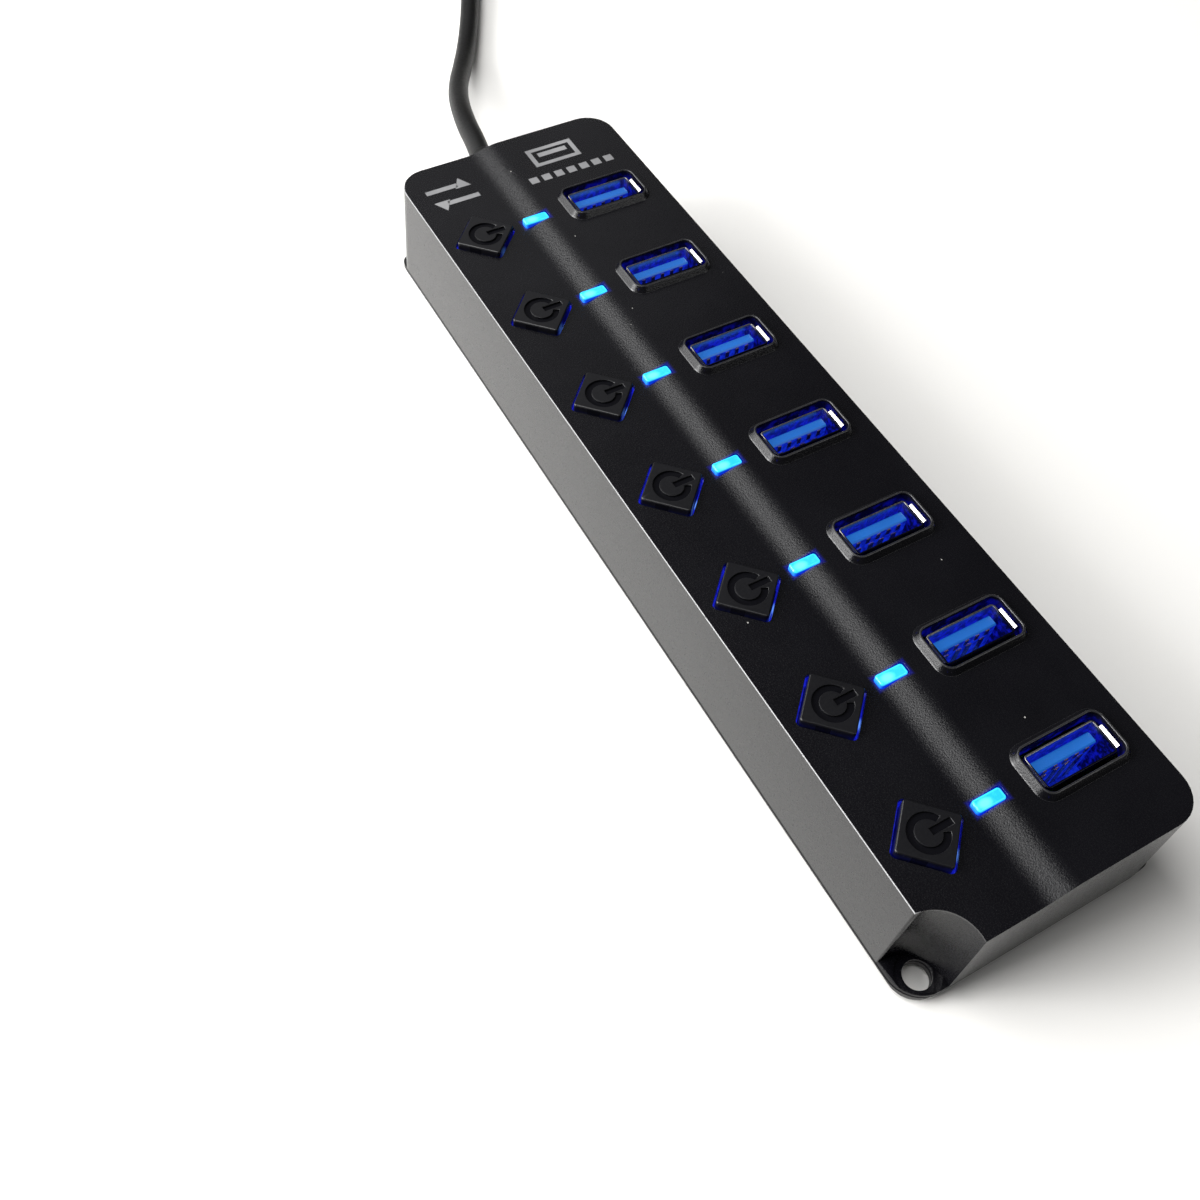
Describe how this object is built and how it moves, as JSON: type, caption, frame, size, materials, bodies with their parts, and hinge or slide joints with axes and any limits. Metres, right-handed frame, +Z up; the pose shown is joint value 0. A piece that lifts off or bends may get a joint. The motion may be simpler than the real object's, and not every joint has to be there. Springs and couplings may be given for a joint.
{
  "type": "usb hub",
  "caption": "Desktop data hub with a row of upright sockets, each with a lit push switch and a signal lamp, a screw ear in the corner, and a coiled captive lead with its plug.",
  "frame": {"origin": "on the table, under the middle of the housing", "axes": "+Z up, +Y along the hub towards the lead, +X from the switches to the sockets"},
  "size_m": [0.0807, 0.3619, 0.0237],
  "materials": {
    "housing_plastic": "fine matt texture",
    "cover_plastic": "fine matt texture",
    "cap_plastic": "satin",
    "board": "green lacquer",
    "screw_steel": "zinc plated",
    "foot_rubber": "matt",
    "chip_epoxy": "matt",
    "nickel": "nickel plated",
    "can_aluminium": "satin",
    "led_body": "clear resin",
    "guide_acrylic": "clear, lit blue",
    "switch_plastic": "satin",
    "contact_gold": "gold plated",
    "tin": "tinned",
    "wire_insulation": "PVC in four colours",
    "insulator_blue": "moulded, blue",
    "lamp_epoxy": "diffused resin, lit blue",
    "lead_pvc": "matt PVC",
    "grip_pvc": "matt PVC",
    "tie_nylon": "ribbed nylon"
  },
  "bodies": {
    "hub": {"top_housing": "housing_plastic", "corner_ear": "housing_plastic", "bottom_cover": "cover_plastic", "main_board": "board", "housing_screws": "screw_steel", "rubber_feet": "foot_rubber", "hub_chips": "chip_epoxy", "crystals": "nickel", "capacitors": "can_aluminium", "resistors": "chip_epoxy", "button_leds": "led_body", "light_guides": "guide_acrylic", "switch_bodies": "switch_plastic", "port_shell_1": "nickel", "port_shell_2": "nickel", "port_shell_3": "nickel", "port_shell_4": "nickel", "port_shell_5": "nickel", "port_shell_6": "nickel", "port_shell_7": "nickel", "port_tongue_1": "insulator_blue", "port_tongue_2": "insulator_blue", "port_tongue_3": "insulator_blue", "port_tongue_4": "insulator_blue", "port_tongue_5": "insulator_blue", "port_tongue_6": "insulator_blue", "port_tongue_7": "insulator_blue", "port_contacts": "contact_gold", "lamp_1": "lamp_epoxy", "lamp_2": "lamp_epoxy", "lamp_3": "lamp_epoxy", "lamp_4": "lamp_epoxy", "lamp_5": "lamp_epoxy", "lamp_6": "lamp_epoxy", "lamp_7": "lamp_epoxy", "lamp_pins": "tin", "lead_wires": "wire_insulation", "strain_relief": "lead_pvc", "cord_run": "lead_pvc", "cord_coil": "lead_pvc", "cord_tail": "lead_pvc", "cord_tie": "tie_nylon", "plug_grip": "grip_pvc", "plug_shell": "nickel", "plug_tongue": "insulator_blue", "plug_contacts": "contact_gold"},
    "button_1": {"keycap_1": "cap_plastic", "plunger_1": "switch_plastic"},
    "button_2": {"keycap_2": "cap_plastic", "plunger_2": "switch_plastic"},
    "button_3": {"keycap_3": "cap_plastic", "plunger_3": "switch_plastic"},
    "button_4": {"keycap_4": "cap_plastic", "plunger_4": "switch_plastic"},
    "button_5": {"keycap_5": "cap_plastic", "plunger_5": "switch_plastic"},
    "button_6": {"keycap_6": "cap_plastic", "plunger_6": "switch_plastic"},
    "button_7": {"keycap_7": "cap_plastic", "plunger_7": "switch_plastic"}
  },
  "joints": [
    {"name": "press_1", "type": "slide", "parent": "hub", "child": "button_1", "axis": [0, 0, -1], "range_m": [0, 0.0015], "stiffness_N_per_m": 600},
    {"name": "press_2", "type": "slide", "parent": "hub", "child": "button_2", "axis": [0, 0, -1], "range_m": [0, 0.0015], "stiffness_N_per_m": 600},
    {"name": "press_3", "type": "slide", "parent": "hub", "child": "button_3", "axis": [0, 0, -1], "range_m": [0, 0.0015], "stiffness_N_per_m": 600},
    {"name": "press_4", "type": "slide", "parent": "hub", "child": "button_4", "axis": [0, 0, -1], "range_m": [0, 0.0015], "stiffness_N_per_m": 600},
    {"name": "press_5", "type": "slide", "parent": "hub", "child": "button_5", "axis": [0, 0, -1], "range_m": [0, 0.0015], "stiffness_N_per_m": 600},
    {"name": "press_6", "type": "slide", "parent": "hub", "child": "button_6", "axis": [0, 0, -1], "range_m": [0, 0.0015], "stiffness_N_per_m": 600},
    {"name": "press_7", "type": "slide", "parent": "hub", "child": "button_7", "axis": [0, 0, -1], "range_m": [0, 0.0015], "stiffness_N_per_m": 600}
  ]
}
